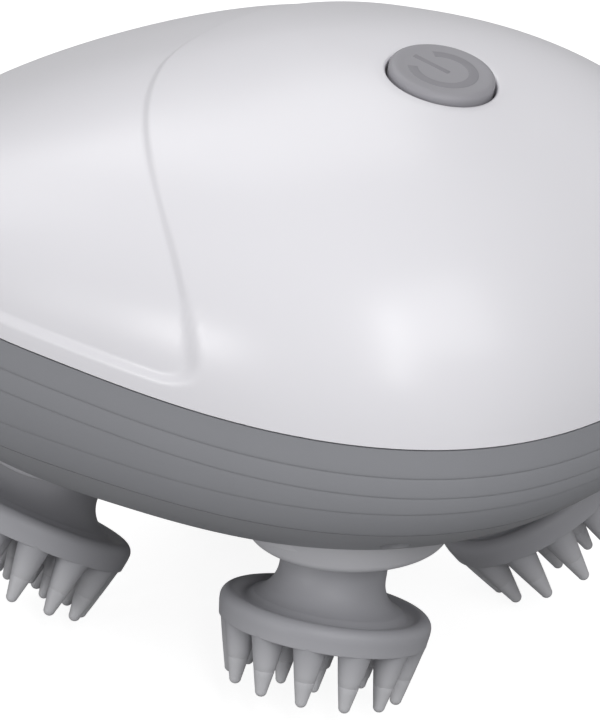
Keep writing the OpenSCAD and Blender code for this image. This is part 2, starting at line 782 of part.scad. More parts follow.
module switch_plunger() {
    color([0.2, 0.2, 0.2]) at_button() rod(1.6, -board_depth + 1.4, stem_bottom);
}

module switch_base() {
    color([0.15, 0.15, 0.16]) at_button() translate([0, 0, -board_depth]) difference() {
        translate([-3, -3, 0]) cube([6, 6, 2.9]);
        rod(1.7, 0.5, 4);
    }
}

module control_board() {
    color([0.1, 0.35, 0.2]) at_button() difference() {
        translate([-12, -16, -board_depth - board_thickness]) cube([24, 32, board_thickness]);
        for (side = [1, -1]) translate([0, side * board_boss_place, 0]) rod(1.1, -20, 0);
    }
}

module board_screws() {
    color([0.7, 0.7, 0.72]) at_button() for (side = [1, -1])
        translate([0, side * board_boss_place, -board_depth - board_thickness]) {
            rod(0.9, 0, board_thickness + 4);
            rod(1.8, -1.2, 0);
        }
}

// ---- Motor, battery and port -----------------------------------------------------------------------

module motor_can(gap) {
    rotate([0, 90, 0]) intersection() {
        cylinder(r = motor_radius + gap, h = motor_length + gap);
        translate([-motor_height / 2 - gap, -50, -1]) cube([motor_height + 2 * gap, 100, motor_length + 5]);
    }
}

module motor_case() {
    color([0.75, 0.75, 0.77]) translate([motor_front, worm_offset, worm_height]) difference() {
        union() {
            motor_can(0);
            rotate([0, 90, 0]) rod(3, -1.5, 0);
        }
        rotate([0, 90, 0]) rod(1 + running_gap, -5, 3.5);
    }
}

cell_x = -42.5;
cell_height = parting_height + 2.4;
cradle_wall = 1.6;

module battery_cell() {
    color([0.25, 0.35, 0.6]) translate([cell_x, -cell_length / 2, cell_height]) rotate([-90, 0, 0]) union() {
        cylinder(r = cell_radius, h = cell_length - 1);
        cylinder(r = 2.6, h = cell_length);
    }
}

module battery_cradle() {
    outer = cell_radius + cradle_wall;
    shoulder = cell_height - cell_radius - 3;
    color([0.85, 0.85, 0.82]) difference() {
        for (y = [-16, 16]) translate([cell_x, y + 4, 0]) rotate([90, 0, 0]) linear_extrude(height = 8)
            polygon([[-3, floor_top], [5, floor_top], [5, shoulder - 5], [outer, shoulder],
                [outer, cell_height - 0.5], [-outer, cell_height - 0.5], [-outer, shoulder],
                [-3, shoulder - 5]]);
        translate([cell_x, -50, cell_height]) rotate([-90, 0, 0])
            cylinder(r = cell_radius + seat_gap, h = 100);
    }
}

module charge_socket() {
    color([0.75, 0.75, 0.77]) at_port() difference() {
        port_slot(port_width - 2 * seat_gap, port_tall - 2 * seat_gap, 2.6, 10.6);
        port_slot(port_width - 1, port_tall - 1, 2, 9.6);
    }
}

module port_plug() {
    color([0.5, 0.5, 0.52]) at_port() union() {
        port_slot(port_width + 2 - 2 * seat_gap, port_tall + 2 - 2 * seat_gap, -0.3, 0.8);
        port_slot(port_width - 1.2, port_tall - 1.2, 0.5, 6);
    }
}

// ---- Output ----------------------------------------------------------------------------------------

top_shell();
grip_band();
lower_housing();
seal_ring();
housing_screws();
chassis();
chassis_screws();
shaft_bushes();
shaft_seals();
drive_bushes();
motor_case();
battery_cell();
battery_cradle();
control_board();
switch_base();
board_screws();
charge_socket();
port_plug();
worm();
color([0.75, 0.75, 0.77]) rod(shaft_radius, axle_bottom, axle_top);  // drive_axle
sun_gear();
worm_wheel();
power_button();
switch_plunger();
for (corner = [0 : 3]) {
    bearing_cup(corner);
    output_shaft(corner);
    shaft_gear(corner);
    head_hub(corner);
    massage_head(corner);
}
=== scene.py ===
"""Electric scalp massager: the looks, the studio and the camera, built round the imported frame.

+Z up, +X towards the power button's end. The object's sizes are in millimetres, and MM turns them
into Blender's metres. Angles are in degrees, and functions turn them into radians.
"""

import math

import bmesh
import bpy
import numpy as np
from mathutils import Matrix, Vector

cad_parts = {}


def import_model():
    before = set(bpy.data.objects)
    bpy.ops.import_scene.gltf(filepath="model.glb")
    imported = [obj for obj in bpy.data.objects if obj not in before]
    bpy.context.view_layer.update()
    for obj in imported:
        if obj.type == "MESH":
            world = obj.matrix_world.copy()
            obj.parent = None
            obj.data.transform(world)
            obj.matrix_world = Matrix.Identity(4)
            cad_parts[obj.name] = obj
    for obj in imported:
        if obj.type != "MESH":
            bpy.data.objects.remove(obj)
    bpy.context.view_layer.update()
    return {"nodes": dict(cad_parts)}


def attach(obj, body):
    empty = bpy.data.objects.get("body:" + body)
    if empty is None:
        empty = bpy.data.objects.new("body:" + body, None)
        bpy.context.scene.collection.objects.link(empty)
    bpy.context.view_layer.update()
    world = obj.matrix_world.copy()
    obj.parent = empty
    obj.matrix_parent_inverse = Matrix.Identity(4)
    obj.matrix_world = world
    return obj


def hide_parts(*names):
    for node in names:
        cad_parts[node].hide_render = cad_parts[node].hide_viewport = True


MM = 0.001

# ---- Sizes, in millimetres -------------------------------------------------------------------

# Oval outline, parting line, dome and palm panel.
HALF_LENGTH = 62.4
HALF_WIDTH = 52.0
OVAL_POWER = 2.6
PIVOT_HEIGHT = 22.437
PARTING_HEIGHT = PIVOT_HEIGHT + 32.6
PARTING_SLOPE = 0.06
DOME_RISE = 33.4
DOME_LEAN = 0.41
DOME_SAG = -0.22
CROWN_POWER = 1.67
SHOULDER_POWER = 2.48
DOME_WALL = 2.2
PANEL_DEPTH = 0.6
PANEL_FRONT = -16.0
PANEL_SWEEP = 0.0125
PANEL_CURL = 4.2e-7
PANEL_MARGIN = 3.2
PANEL_CORNER = 3.8
PANEL_EDGE = 1.5
SHELL_EDGE_ROUND = 0.3

# Hull below the parting line, grip band and lower housing.
HULL_DEPTH = 41.0
HULL_LEAN = -0.19
HULL_POWER = 3.0
UNDERSIDE_RISE = 7.0
BAND_FOOT = 14.8
BAND_THICKNESS = 1.6
LAP_STEP = 0.2
# Height over the pivots and slope of the band's top edge, its three steps and its foot.
BAND_LEVELS = [(32.6, 0.06), (28.3, 0.06), (24.9, 0.055), (19.85, 0.01), (BAND_FOOT, 0.0)]
BAND_PLAY = 0.05
LEDGE_WALL = 2.0
HULL_WALL = 3.6
FLOOR_THICKNESS = 2.4
CUP_HOLE_RADIUS = 13.05
WELL_RADIUS = 2.1
WELL_TOP = 43.4
# Places of the four screw wells.
TOWER_X = HALF_LENGTH - 21.4
TOWER_Y = HALF_WIDTH - 19.0

# Power button and its hole in the dome.
BUTTON_PLACE = 24.1
BUTTON_RADIUS = 7.5
BUTTON_GAP = 0.35
BUTTON_PROUD = 0.9
BUTTON_DEPTH = 3.0
FACE_DROP = 0.1
HOLE_RADIUS = BUTTON_RADIUS + BUTTON_GAP
HOLE_ROUND = 0.45

# The four heads: where each pivot lies, how far its head stands in its turn, and the lean of the
# shafts and the cant of the heads on them.
CORNERS = ("front_right", "front_left", "rear_left", "rear_right")
AZIMUTHS = (-45.0, 45.0, 135.0, -135.0)
PHASES = (-133.0, -17.0, 80.0, 67.0)
CLAW_TURNS = (12.0, 0.0, 0.0, 21.0)
HEAD_OFFSET = 23.7
SHAFT_SPLAY = 19.6
HEAD_CANT = 13.6
CANT_DROP = 5.2

# One head, from its pivot down to the tips of its claws.
NECK_RADIUS = 7.5
RIDGE_DROP = 5.65
RIM_RADIUS = 14.9
SKIRT_DROP = 9.55
TIP_DROP = 18.25
OUTER_RING = 12.15
INNER_RING = OUTER_RING * 0.54
OUTER_CLAWS = 12
INNER_CLAWS = 8
INNER_SCALE = 0.88
CLAW_LEAN = 0.045
CLAW_ROOT = 2.45
CLAW_TIP = 0.85
CLAW_SUNK = 0.5

# Collar round each bearing cup's fairing.
COLLAR_RADIUS = 14.24
COLLAR_FOOT = 3.98
COLLAR_ROUND = 1.22
COLLAR_WALL = 1.6
COLLAR_TOP = UNDERSIDE_RISE + 2.3
# How far a collar stands from its shaft: forward, and in towards the middle.
COLLAR_SHIFT = (2.4, 1.9)


# ---- Small tools -----------------------------------------------------------------------------


def smoothstep(low, high, x):
    """Goes from 0 at low to 1 at high with soft ends."""
    t = np.clip((np.asarray(x, float) - low) / (high - low), 0.0, 1.0)
    return t * t * (3.0 - 2.0 * t)


def mesh_piece(name, points_mm, faces, material, body, angle):
    """Makes a closed piece from points in millimetres, smooth up to an angle, that rides on a body."""
    mesh = bpy.data.meshes.new(name)
    mesh.from_pydata([tuple(p) for p in np.asarray(points_mm, float) * MM], [], faces)
    mesh.validate()
    piece = bpy.data.objects.new(name, mesh)
    bpy.context.scene.collection.objects.link(piece)
    outward(piece)
    finish_mesh(piece, material, angle)
    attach(piece, body)
    return piece


def finish_mesh(piece, material, angle):
    """Smooths a piece up to an angle and gives it one material."""
    mesh = piece.data
    mesh.materials.clear()
    mesh.materials.append(material)
    mesh.shade_smooth()
    mesh.set_sharp_from_angle(angle=math.radians(angle))
    mesh.update()


def ring_faces(rings, steps, closed=False):
    """Quads between rings of equal length; closed joins the last ring to the first."""
    faces = []
    for i in range(rings if closed else rings - 1):
        up = (i + 1) % rings
        for j in range(steps):
            k = (j + 1) % steps
            faces.append((i * steps + j, i * steps + k, up * steps + k, up * steps + j))
    return faces


def revolve(profile, steps=96):
    """Points and faces of a profile of (radius, height) turned about Z, its ends on the axis."""
    angles = np.linspace(0.0, 2.0 * math.pi, steps, endpoint=False)
    inner = profile[1:-1]
    points = [(0.0, 0.0, profile[0][1])]
    for radius, height in inner:
        points += [(radius * math.cos(a), radius * math.sin(a), height) for a in angles]
    points.append((0.0, 0.0, profile[-1][1]))
    last = len(points) - 1
    faces = []
    for j in range(steps):
        k = (j + 1) % steps
        faces.append((0, 1 + j, 1 + k))
        base = 1 + (len(inner) - 1) * steps
        faces.append((last, base + k, base + j))
    for i in range(len(inner) - 1):
        low, high = 1 + i * steps, 1 + (i + 1) * steps
        for j in range(steps):
            k = (j + 1) % steps
            faces.append((low + k, low + j, high + j, high + k))
    return np.array(points), faces


def arc(centre, radius, start, end, steps):
    """Points on an arc in a plane, such as (radius, height), angles in degrees."""
    angles = np.radians(np.linspace(start, end, steps + 1))
    return [(centre[0] + radius * math.cos(a), centre[1] + radius * math.sin(a)) for a in angles]


def outward(piece):
    """Makes every face of a closed piece point outwards."""
    mesh = bmesh.new()
    mesh.from_mesh(piece.data)
    bmesh.ops.recalc_face_normals(mesh, faces=mesh.faces)
    mesh.to_mesh(piece.data)
    mesh.free()


# ---- Body surfaces ---------------------------------------------------------------------------


def signed_power(v, p):
    """A power of the size of v, with v's sign."""
    return np.sign(v) * np.abs(v) ** p


def oval(t, half_length=HALF_LENGTH, half_width=HALF_WIDTH):
    """X and Y of the oval outline at a turn."""
    x = half_length * signed_power(np.cos(t), 2 / OVAL_POWER)
    y = half_width * signed_power(np.sin(t), 2 / OVAL_POWER)
    return x, y


def lengths_along(points):
    """Length along a line of points, from its start to each of them."""
    steps = np.linalg.norm(np.diff(points, axis=0), axis=1)
    return np.concatenate([[0.0], np.cumsum(steps)])


def oval_turns(count):
    """Turns round the oval outline that stand at equal steps along it."""
    t = np.linspace(0.0, 2.0 * math.pi, 7201)
    run = lengths_along(np.stack(oval(t), -1))
    return np.interp(np.linspace(0.0, run[-1], count, endpoint=False), run, t)


def parting_at(x):
    """Height of the parting line."""
    return PARTING_HEIGHT - PARTING_SLOPE * x


def dome_height(x, y):
    """Height of the dome over a point of the plan."""
    u, v = x / HALF_LENGTH, y / HALF_WIDTH
    share = np.minimum((np.abs(u) ** OVAL_POWER + np.abs(v) ** OVAL_POWER) ** (1 / OVAL_POWER), 1.0)
    rise = DOME_RISE * (1 + DOME_LEAN * u + DOME_SAG * u * u)
    return parting_at(x) + rise * (1 - share**CROWN_POWER) ** (1 / SHOULDER_POWER)


def button_frame():
    """The power button's origin on the dome, in millimetres, and its lean towards +X."""
    reach = 0.5
    rise = dome_height(BUTTON_PLACE - reach, 0.0) - dome_height(BUTTON_PLACE + reach, 0.0)
    lean = math.atan2(rise, 2 * reach)
    origin = np.array([BUTTON_PLACE, 0.0, float(dome_height(BUTTON_PLACE, 0.0))])
    return origin, lean


def button_matrix():
    """The power button's place, in millimetres."""
    origin, lean = button_frame()
    return Matrix.Translation(Vector(origin)) @ Matrix.Rotation(lean, 4, "Y")


def hull_point(t, level, inset):
    """Points of the hull at a level of height and slope, drawn in by an inset."""
    ox, oy = oval(t, 1.0, 1.0)
    z0 = PIVOT_HEIGHT + level[0] - level[1] * HALF_LENGTH * ox
    depth = np.maximum(parting_at(HALF_LENGTH * ox) - z0, 0.0)
    share = 1 - (depth / (HULL_DEPTH * (1 + HULL_LEAN * ox))) ** HULL_POWER
    x = (HALF_LENGTH * share - inset) * ox
    y = (HALF_WIDTH * share - inset) * oy
    return np.stack([x, y, PIVOT_HEIGHT + level[0] - level[1] * x], -1)


# ---- Dome shell ------------------------------------------------------------------------------


def panel_edge(y):
    """Where the palm panel's front edge runs, bending forward towards the band."""
    return PANEL_FRONT + PANEL_SWEEP * y**2 + PANEL_CURL * y**4


def panel_share(x, y, z):
    """0 on the dome's own surface and 1 in the floor of the palm panel, soft across its edge."""
    edge = panel_edge(y)
    slope = 2 * PANEL_SWEEP * y + 4 * PANEL_CURL * y**3
    behind = (edge - x) / np.sqrt(1 + slope * slope)
    above = z - parting_at(x) - PANEL_MARGIN
    # The two edges meet in a rounded corner.
    a = np.clip(PANEL_CORNER - behind, 0.0, None)
    b = np.clip(PANEL_CORNER - above, 0.0, None)
    inside = np.where((a > 0) & (b > 0), PANEL_CORNER - np.hypot(a, b), np.minimum(behind, above))
    return smoothstep(-PANEL_EDGE / 2, PANEL_EDGE / 2, inside)


def dome_rays(steps):
    """Rays in plan from the button out to the parting line, sampled along the dome's surface."""
    outline = np.stack(oval(oval_turns(steps)), -1)
    centre = np.array([BUTTON_PLACE, 0.0])
    # The samples lie closer together towards the parting line, where the dome turns down.
    shares = 1 - (1 - np.linspace(0.0, 1.0, 1601)) ** 3
    plan = centre + shares[None, :, None] * (outline - centre)[:, None, :]
    x, y = plan[..., 0], plan[..., 1]
    z = dome_height(x, y)
    z[:, -1] = parting_at(x[:, -1])
    return np.stack([x, y, z], -1)


def feature_lengths(rays, runs, origin, axis):
    """Lengths along each ray to the button's hole and to the panel's front and lower edges."""
    search = 40.0
    hole, front, low = [], [], []
    for ray, run in zip(rays, runs):
        off = ray - origin
        radius = np.linalg.norm(off - (off @ axis)[:, None] * axis, axis=1)
        near = run < search
        hole.append(np.interp(HOLE_RADIUS + HOLE_ROUND, radius[near], run[near]))
        crossed = np.argmax(panel_edge(ray[:, 1]) > ray[:, 0])
        front.append(run[crossed] if crossed > 0 else np.nan)
        above = ray[:, 2] - parting_at(ray[:, 0]) - PANEL_MARGIN
        low.append(run[np.argmax(above < 0)])
    hole, front, low = map(np.array, (hole, front, low))
    # A ray that doesn't cross the front edge has its close rings about halfway.
    front = np.where(np.isnan(front), hole + 0.55 * (low - hole), front)
    front = np.minimum(front, low - 6.0)
    # Even out the jumps between neighbouring rays.
    kernel = np.hanning(15) / np.hanning(15).sum()
    front = np.convolve(np.concatenate([front[-7:], front, front[:7]]), kernel, "valid")
    return hole, front, low


def ring_lengths(hole, front, low, total):
    """Lengths of the rings along one ray, close together over the panel's two edges."""
    half = 1.6
    stops = (hole, front - half, front + half, low - half, low + half)
    counts = (22, 12, 26, 10)
    lengths = [np.linspace(a, b, n, endpoint=False) for a, b, n in zip(stops, stops[1:], counts)]
    return np.concatenate(lengths + [np.linspace(low + half, total, 9)])


def dome_shell(material):
    """The pearl dome: a closed wall with the button's hole, the palm panel and a rounded lower edge."""
    steps = 360
    rays = dome_rays(steps)
    runs = [lengths_along(ray) for ray in rays]
    origin, lean = button_frame()
    axis = np.array([math.sin(lean), 0.0, math.cos(lean)])
    columns = []
    for ray, run, hole, front, low in zip(rays, runs, *feature_lengths(rays, runs, origin, axis)):
        lengths = ring_lengths(hole, front, low, run[-1])
        columns.append(np.stack([np.interp(lengths, run, ray[:, k]) for k in range(3)], -1))
    outer = np.stack(columns, 1)
    normals = surface_normals(outer)
    depth = PANEL_DEPTH * panel_share(outer[..., 0], outer[..., 1], outer[..., 2])
    face = outer - normals * depth[..., None]

    # Wall of the button's hole, and its rounded edge.
    hole_rings = [hole_ring(outer[0], origin, axis, HOLE_RADIUS, DOME_WALL)]
    for a in np.radians(np.linspace(0.0, 72.0, 5)):
        radius = HOLE_RADIUS + HOLE_ROUND * (1 - math.cos(a))
        hole_rings.append(hole_ring(outer[0], origin, axis, radius, HOLE_ROUND * (1 - math.sin(a))))

    # The lower edge is lifted off the band by its round's radius. Its lip turns in to the foot.
    up = np.array([0.0, 0.0, SHELL_EDGE_ROUND])
    face[-1] += up
    rim = face[-1]
    rim_out = normals[-1] * np.array([1.0, 1.0, 0.0])
    rim_out /= np.linalg.norm(rim_out, axis=-1, keepdims=True)
    lip = []
    for a in np.radians((30.0, 60.0, 90.0)):
        inset = SHELL_EDGE_ROUND * (1 - math.cos(a))
        lip.append(rim - rim_out * inset + up * (1 - math.sin(a)))
    foot = rim - rim_out * DOME_WALL
    inner = [outer[i] - normals[i] * DOME_WALL for i in range(len(outer) - 4, 3, -6)]

    rings = hole_rings + list(face) + lip + [foot] + inner
    faces = ring_faces(len(rings), steps, closed=True)
    shell = mesh_piece("dome_shell", np.concatenate(rings), faces, material, "housing", 50.0)
    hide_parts("top_shell")


def hole_ring(reference, origin, axis, radius, below):
    """Ring round the button's axis at a radius, below the dome's surface there by a depth."""
    off = reference - origin
    flat = off - (off @ axis)[:, None] * axis
    way = flat / np.linalg.norm(flat, axis=1, keepdims=True)
    spot = origin + way * radius
    z = dome_height(spot[:, 0], spot[:, 1])
    lift = (z - spot[:, 2]) / axis[2]
    return spot + axis * (lift - below)[:, None]


def surface_normals(rings):
    """Outward normals of a grid of rings, each closed on itself."""
    along = np.gradient(rings, axis=0)
    across = np.roll(rings, -1, axis=1) - np.roll(rings, 1, axis=1)
    normal = np.cross(along, across)
    normal /= np.linalg.norm(normal, axis=-1, keepdims=True)
    centre = np.array([0.0, 0.0, PARTING_HEIGHT - 10.0])
    facing = np.sign(np.sum(normal * (rings - centre), axis=-1, keepdims=True))
    return normal * facing


# ---- Grip band and belly -----------------------------------------------------------------------


def grip_band(material):
    """Silicone band of four laps, each standing a little over the next."""
    steps = 360
    t = oval_turns(steps)
    # Share of the way down a lap, and how far its face is drawn in there, -1 being a whole step.
    section = [
        (0.0, -1.0), (0.03, -0.86), (0.08, -0.72), (0.2, -0.55), (0.45, -0.3),
        (0.7, -0.12), (0.86, -0.03), (0.93, -0.02), (0.97, -0.2), (1.0, -0.62),
    ]
    proud = 0.12
    laps = []
    for i in range(4):
        top, foot = np.array(BAND_LEVELS[i]), np.array(BAND_LEVELS[i + 1])
        for share, swell in section:
            # The first lap meets the dome nearly flush.
            if i == 0 and share < 0.3:
                swell = max(swell, -0.45)
            laps.append(hull_point(t, top * (1 - share) + foot * share, -proud - LAP_STEP * swell))
    # The band's top edge rounds over against the dome, its foot against the belly.
    top_edge = hull_point(t, (BAND_LEVELS[0][0] - 0.02, BAND_LEVELS[0][1]), 0.45)
    foot_edge = hull_point(t, BAND_LEVELS[-1], 0.7)
    inner = [hull_point(t, level, BAND_THICKNESS) for level in BAND_LEVELS[::-1]]
    rings = [top_edge] + laps + [foot_edge] + inner
    faces = ring_faces(len(rings), steps, closed=True)
    band = mesh_piece("grip_band_laps", np.concatenate(rings), faces, material, "housing", 40.0)
    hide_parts("grip_band")


def belly(material):
    """Lower housing: a smooth pan that shows below the band, with its screw wells and cup holes."""
    steps = 240
    t = oval_turns(steps)
    behind_band = BAND_THICKNESS + BAND_PLAY
    inside = BAND_THICKNESS + LEDGE_WALL
    ledge = [hull_point(t, BAND_LEVELS[0], inside)]
    ledge += [hull_point(t, level, behind_band) for level in BAND_LEVELS]
    ledge.append(hull_point(t, BAND_LEVELS[-1], 0.25))

    side_top = BAND_FOOT - 0.12
    side = []
    for share in np.linspace(0.0, 1.0, 15):
        side.append(hull_point(t, (side_top + (UNDERSIDE_RISE - side_top) * share, 0.0), 0.0))
    base = side[-1]
    side += [base * np.array([s, s, 1.0]) for s in (0.985, 0.95, 0.85, 0.65, 0.4, 0.15)]
    # Soften the turn into the flat underside.
    side = np.array(side)
    for _ in range(3):
        side[1:-1] = 0.5 * side[1:-1] + 0.25 * (side[:-2] + side[2:])
    outer = ledge + list(side)

    inner = []
    for share in (1.0, 0.6, 0.25):
        level = BAND_FOOT + (UNDERSIDE_RISE + FLOOR_THICKNESS - BAND_FOOT) * share
        inner.append(hull_point(t, (level, 0.0), HULL_WALL))
    inner += [hull_point(t, BAND_LEVELS[i], inside) for i in (3, 2, 1)]
    floor = [inner[0] * np.array([s, s, 1.0]) for s in (0.15, 0.6)]
    rings = outer + floor + inner
    # The flat underside and the floor inside close on their middles.
    end = len(outer) - 1
    faces = ring_faces(len(rings), steps, closed=True)
    faces = [f for f in faces if not (f[0] // steps == end and f[2] // steps == end + 1)]
    faces.append(tuple(end * steps + j for j in range(steps)))
    faces.append(tuple((end + 1) * steps + j for j in reversed(range(steps))))
    pan = mesh_piece("belly_pan", np.concatenate(rings), faces, material, "housing", 40.0)
    cut_wells(pan)
    finish_mesh(pan, material, 40.0)
    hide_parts("lower_housing")


def add_cylinder(mesh, place, radius, length, segments):
    """Adds a closed cylinder, in millimetres, whose middle is at a place."""
    bmesh.ops.create_cone(
        mesh, cap_ends=True, segments=segments, radius1=radius * MM, radius2=radius * MM,
        depth=length * MM, matrix=scaled(place),
    )


def cut_wells(pan):
    """Cuts the four cup holes and the four screw wells into the pan."""
    cutters = bmesh.new()
    for corner in range(4):
        place = pivot_matrix(corner) @ Matrix.Translation((0.0, 0.0, 12.0))
        add_cylinder(cutters, place, CUP_HOLE_RADIUS, 30.0, 96)
    well_length = 46.8
    for x, y in ((sx * TOWER_X, sy * TOWER_Y) for sx in (1, -1) for sy in (1, -1)):
        place = Matrix.Translation((x, y, WELL_TOP - well_length / 2))
        add_cylinder(cutters, place, WELL_RADIUS, well_length, 48)
    mesh = bpy.data.meshes.new("well_cutter")
    cutters.to_mesh(mesh)
    cutters.free()
    cutter = bpy.data.objects.new("well_cutter", mesh)
    bpy.context.scene.collection.objects.link(cutter)
    cut = pan.modifiers.new("wells", "BOOLEAN")
    cut.operation = "DIFFERENCE"
    cut.solver = "EXACT"
    cut.use_self = True
    cut.object = cutter
    apply_modifiers(pan)
    bpy.data.objects.remove(cutter)


def scaled(matrix):
    """A placement in millimetres as one in metres."""
    result = matrix.copy()
    result.translation = result.translation * MM
    return result


def apply_modifiers(piece):
    """Turns a piece's evaluated shape into its own plain mesh."""
    graph = bpy.context.evaluated_depsgraph_get()
    graph.update()
    mesh = bpy.data.meshes.new_from_object(piece.evaluated_get(graph))
    piece.modifiers.clear()
    old = piece.data
    piece.data = mesh
    bpy.data.meshes.remove(old)


def cup_collars(material):
    """Rounded collar round each bearing cup's fairing that runs up into the belly with no gap."""
    steps = 120
    angles = np.linspace(0.0, 2.0 * math.pi, steps, endpoint=False)
    inner = COLLAR_RADIUS - COLLAR_WALL
    profile = [(inner, COLLAR_TOP), (inner, COLLAR_FOOT)]
    profile += arc((COLLAR_RADIUS - COLLAR_ROUND, COLLAR_FOOT + COLLAR_ROUND), COLLAR_ROUND, -90, 0, 8)
    profile += [(COLLAR_RADIUS, COLLAR_TOP)]
    faces = ring_faces(len(profile), steps, closed=True)
    # The shaft leans outwards as it goes down, so it is nearer the middle at the collar.
    reach = HEAD_OFFSET - COLLAR_FOOT * math.tan(math.radians(SHAFT_SPLAY)) * math.sqrt(0.5)
    for name, azimuth in zip(CORNERS, map(math.radians, AZIMUTHS)):
        x = math.copysign(reach, math.cos(azimuth)) + COLLAR_SHIFT[0]
        y = math.copysign(reach - COLLAR_SHIFT[1], math.sin(azimuth))
        points = [
            (x + radius * math.cos(a), y + radius * math.sin(a), PIVOT_HEIGHT + height)
            for radius, height in profile for a in angles
        ]
        collar = mesh_piece("cup_collar_" + name, points, faces, material, "housing", 40.0)


# ---- Massage heads ---------------------------------------------------------------------------------


def pivot_matrix(corner):
    """A head's pivot with Z up its shaft, in millimetres."""
    azimuth = math.radians(AZIMUTHS[corner])
    x = math.copysign(HEAD_OFFSET, math.cos(azimuth))
    y = math.copysign(HEAD_OFFSET, math.sin(azimuth))
    place = Vector((x, y, PIVOT_HEIGHT))
    return (
        Matrix.Translation(place)
        @ Matrix.Rotation(azimuth, 4, "Z")
        @ Matrix.Rotation(-math.radians(SHAFT_SPLAY), 4, "Y")
    )


def head_matrix(corner):
    """A head's own frame, canted on its shaft where the head stands in its turn, in millimetres."""
    phase = math.radians(PHASES[corner])
    turn = math.radians(CLAW_TURNS[corner])
    return (
        pivot_matrix(corner)
        @ Matrix.Translation((0.0, 0.0, -CANT_DROP))
        @ Matrix.Rotation(phase, 4, "Z")
        @ Matrix.Rotation(-math.radians(HEAD_CANT), 4, "Y")
        @ Matrix.Rotation(turn - phase, 4, "Z")
        @ Matrix.Translation((0.0, 0.0, CANT_DROP))
    )


def head_profile():
    """Half section of a head: neck, dished top, rounded ridge, skirt and its underside."""
    profile = [(0.0, 2.5), (3.0, 3.0)]
    profile += arc((0.0, 0.0), NECK_RADIUS, 38, 0, 8)
    profile += arc((NECK_RADIUS + 4.6, -1.2), 4.6, 180, 252, 14)
    # The dished top rises to the ridge in a soft S.
    profile += [(11.2, -6.25), (11.6, -6.36), (12.0, -6.38), (12.35, -6.27), (12.7, -6.05)]
    profile += [(13.0, -5.82), (13.25, -5.69)]
    profile += arc((RIM_RADIUS - 1.5, -RIDGE_DROP - 1.5), 1.5, 84, 4, 9)
    profile += [(RIM_RADIUS - 0.03, -RIDGE_DROP - 2.1), (RIM_RADIUS - 0.25, -SKIRT_DROP + 0.25)]
    profile += arc((RIM_RADIUS - 0.43, -SKIRT_DROP + 0.18), 0.18, 0, -90, 3)
    profile += [(6.0, -SKIRT_DROP), (0.0, -SKIRT_DROP)]
    return profile


def claw_mesh(name):
    """One claw pointing down from z = 0: flared root, straight taper, a faint moulding line, round tip."""
    length = TIP_DROP - CLAW_TIP - (SKIRT_DROP - CLAW_SUNK)
    flare, flare_share = 0.12, 0.2
    line, line_half, line_depth = 0.63, 0.012, 0.045
    shares = (0.0, 0.03, 0.07, 0.13, 0.2, 0.35, 0.5)
    shares += (line - line_half, line, line + line_half, 0.75, 0.88, 1.0)
    profile = [(0.0, 0.0)]
    for s in shares:
        radius = CLAW_ROOT + (CLAW_TIP - CLAW_ROOT) * s**1.12
        radius += flare * (1 - min(s / flare_share, 1.0)) ** 2
        if s == line:
            radius -= line_depth
        profile.append((radius, -length * s))
    profile += arc((0.0, -length), CLAW_TIP, -12, -78, 5)
    profile.append((0.0, -length - CLAW_TIP))
    points, faces = revolve(profile, 24)
    mesh = bpy.data.meshes.new(name)
    mesh.from_pydata([tuple(p) for p in points * MM], [], faces)
    return mesh


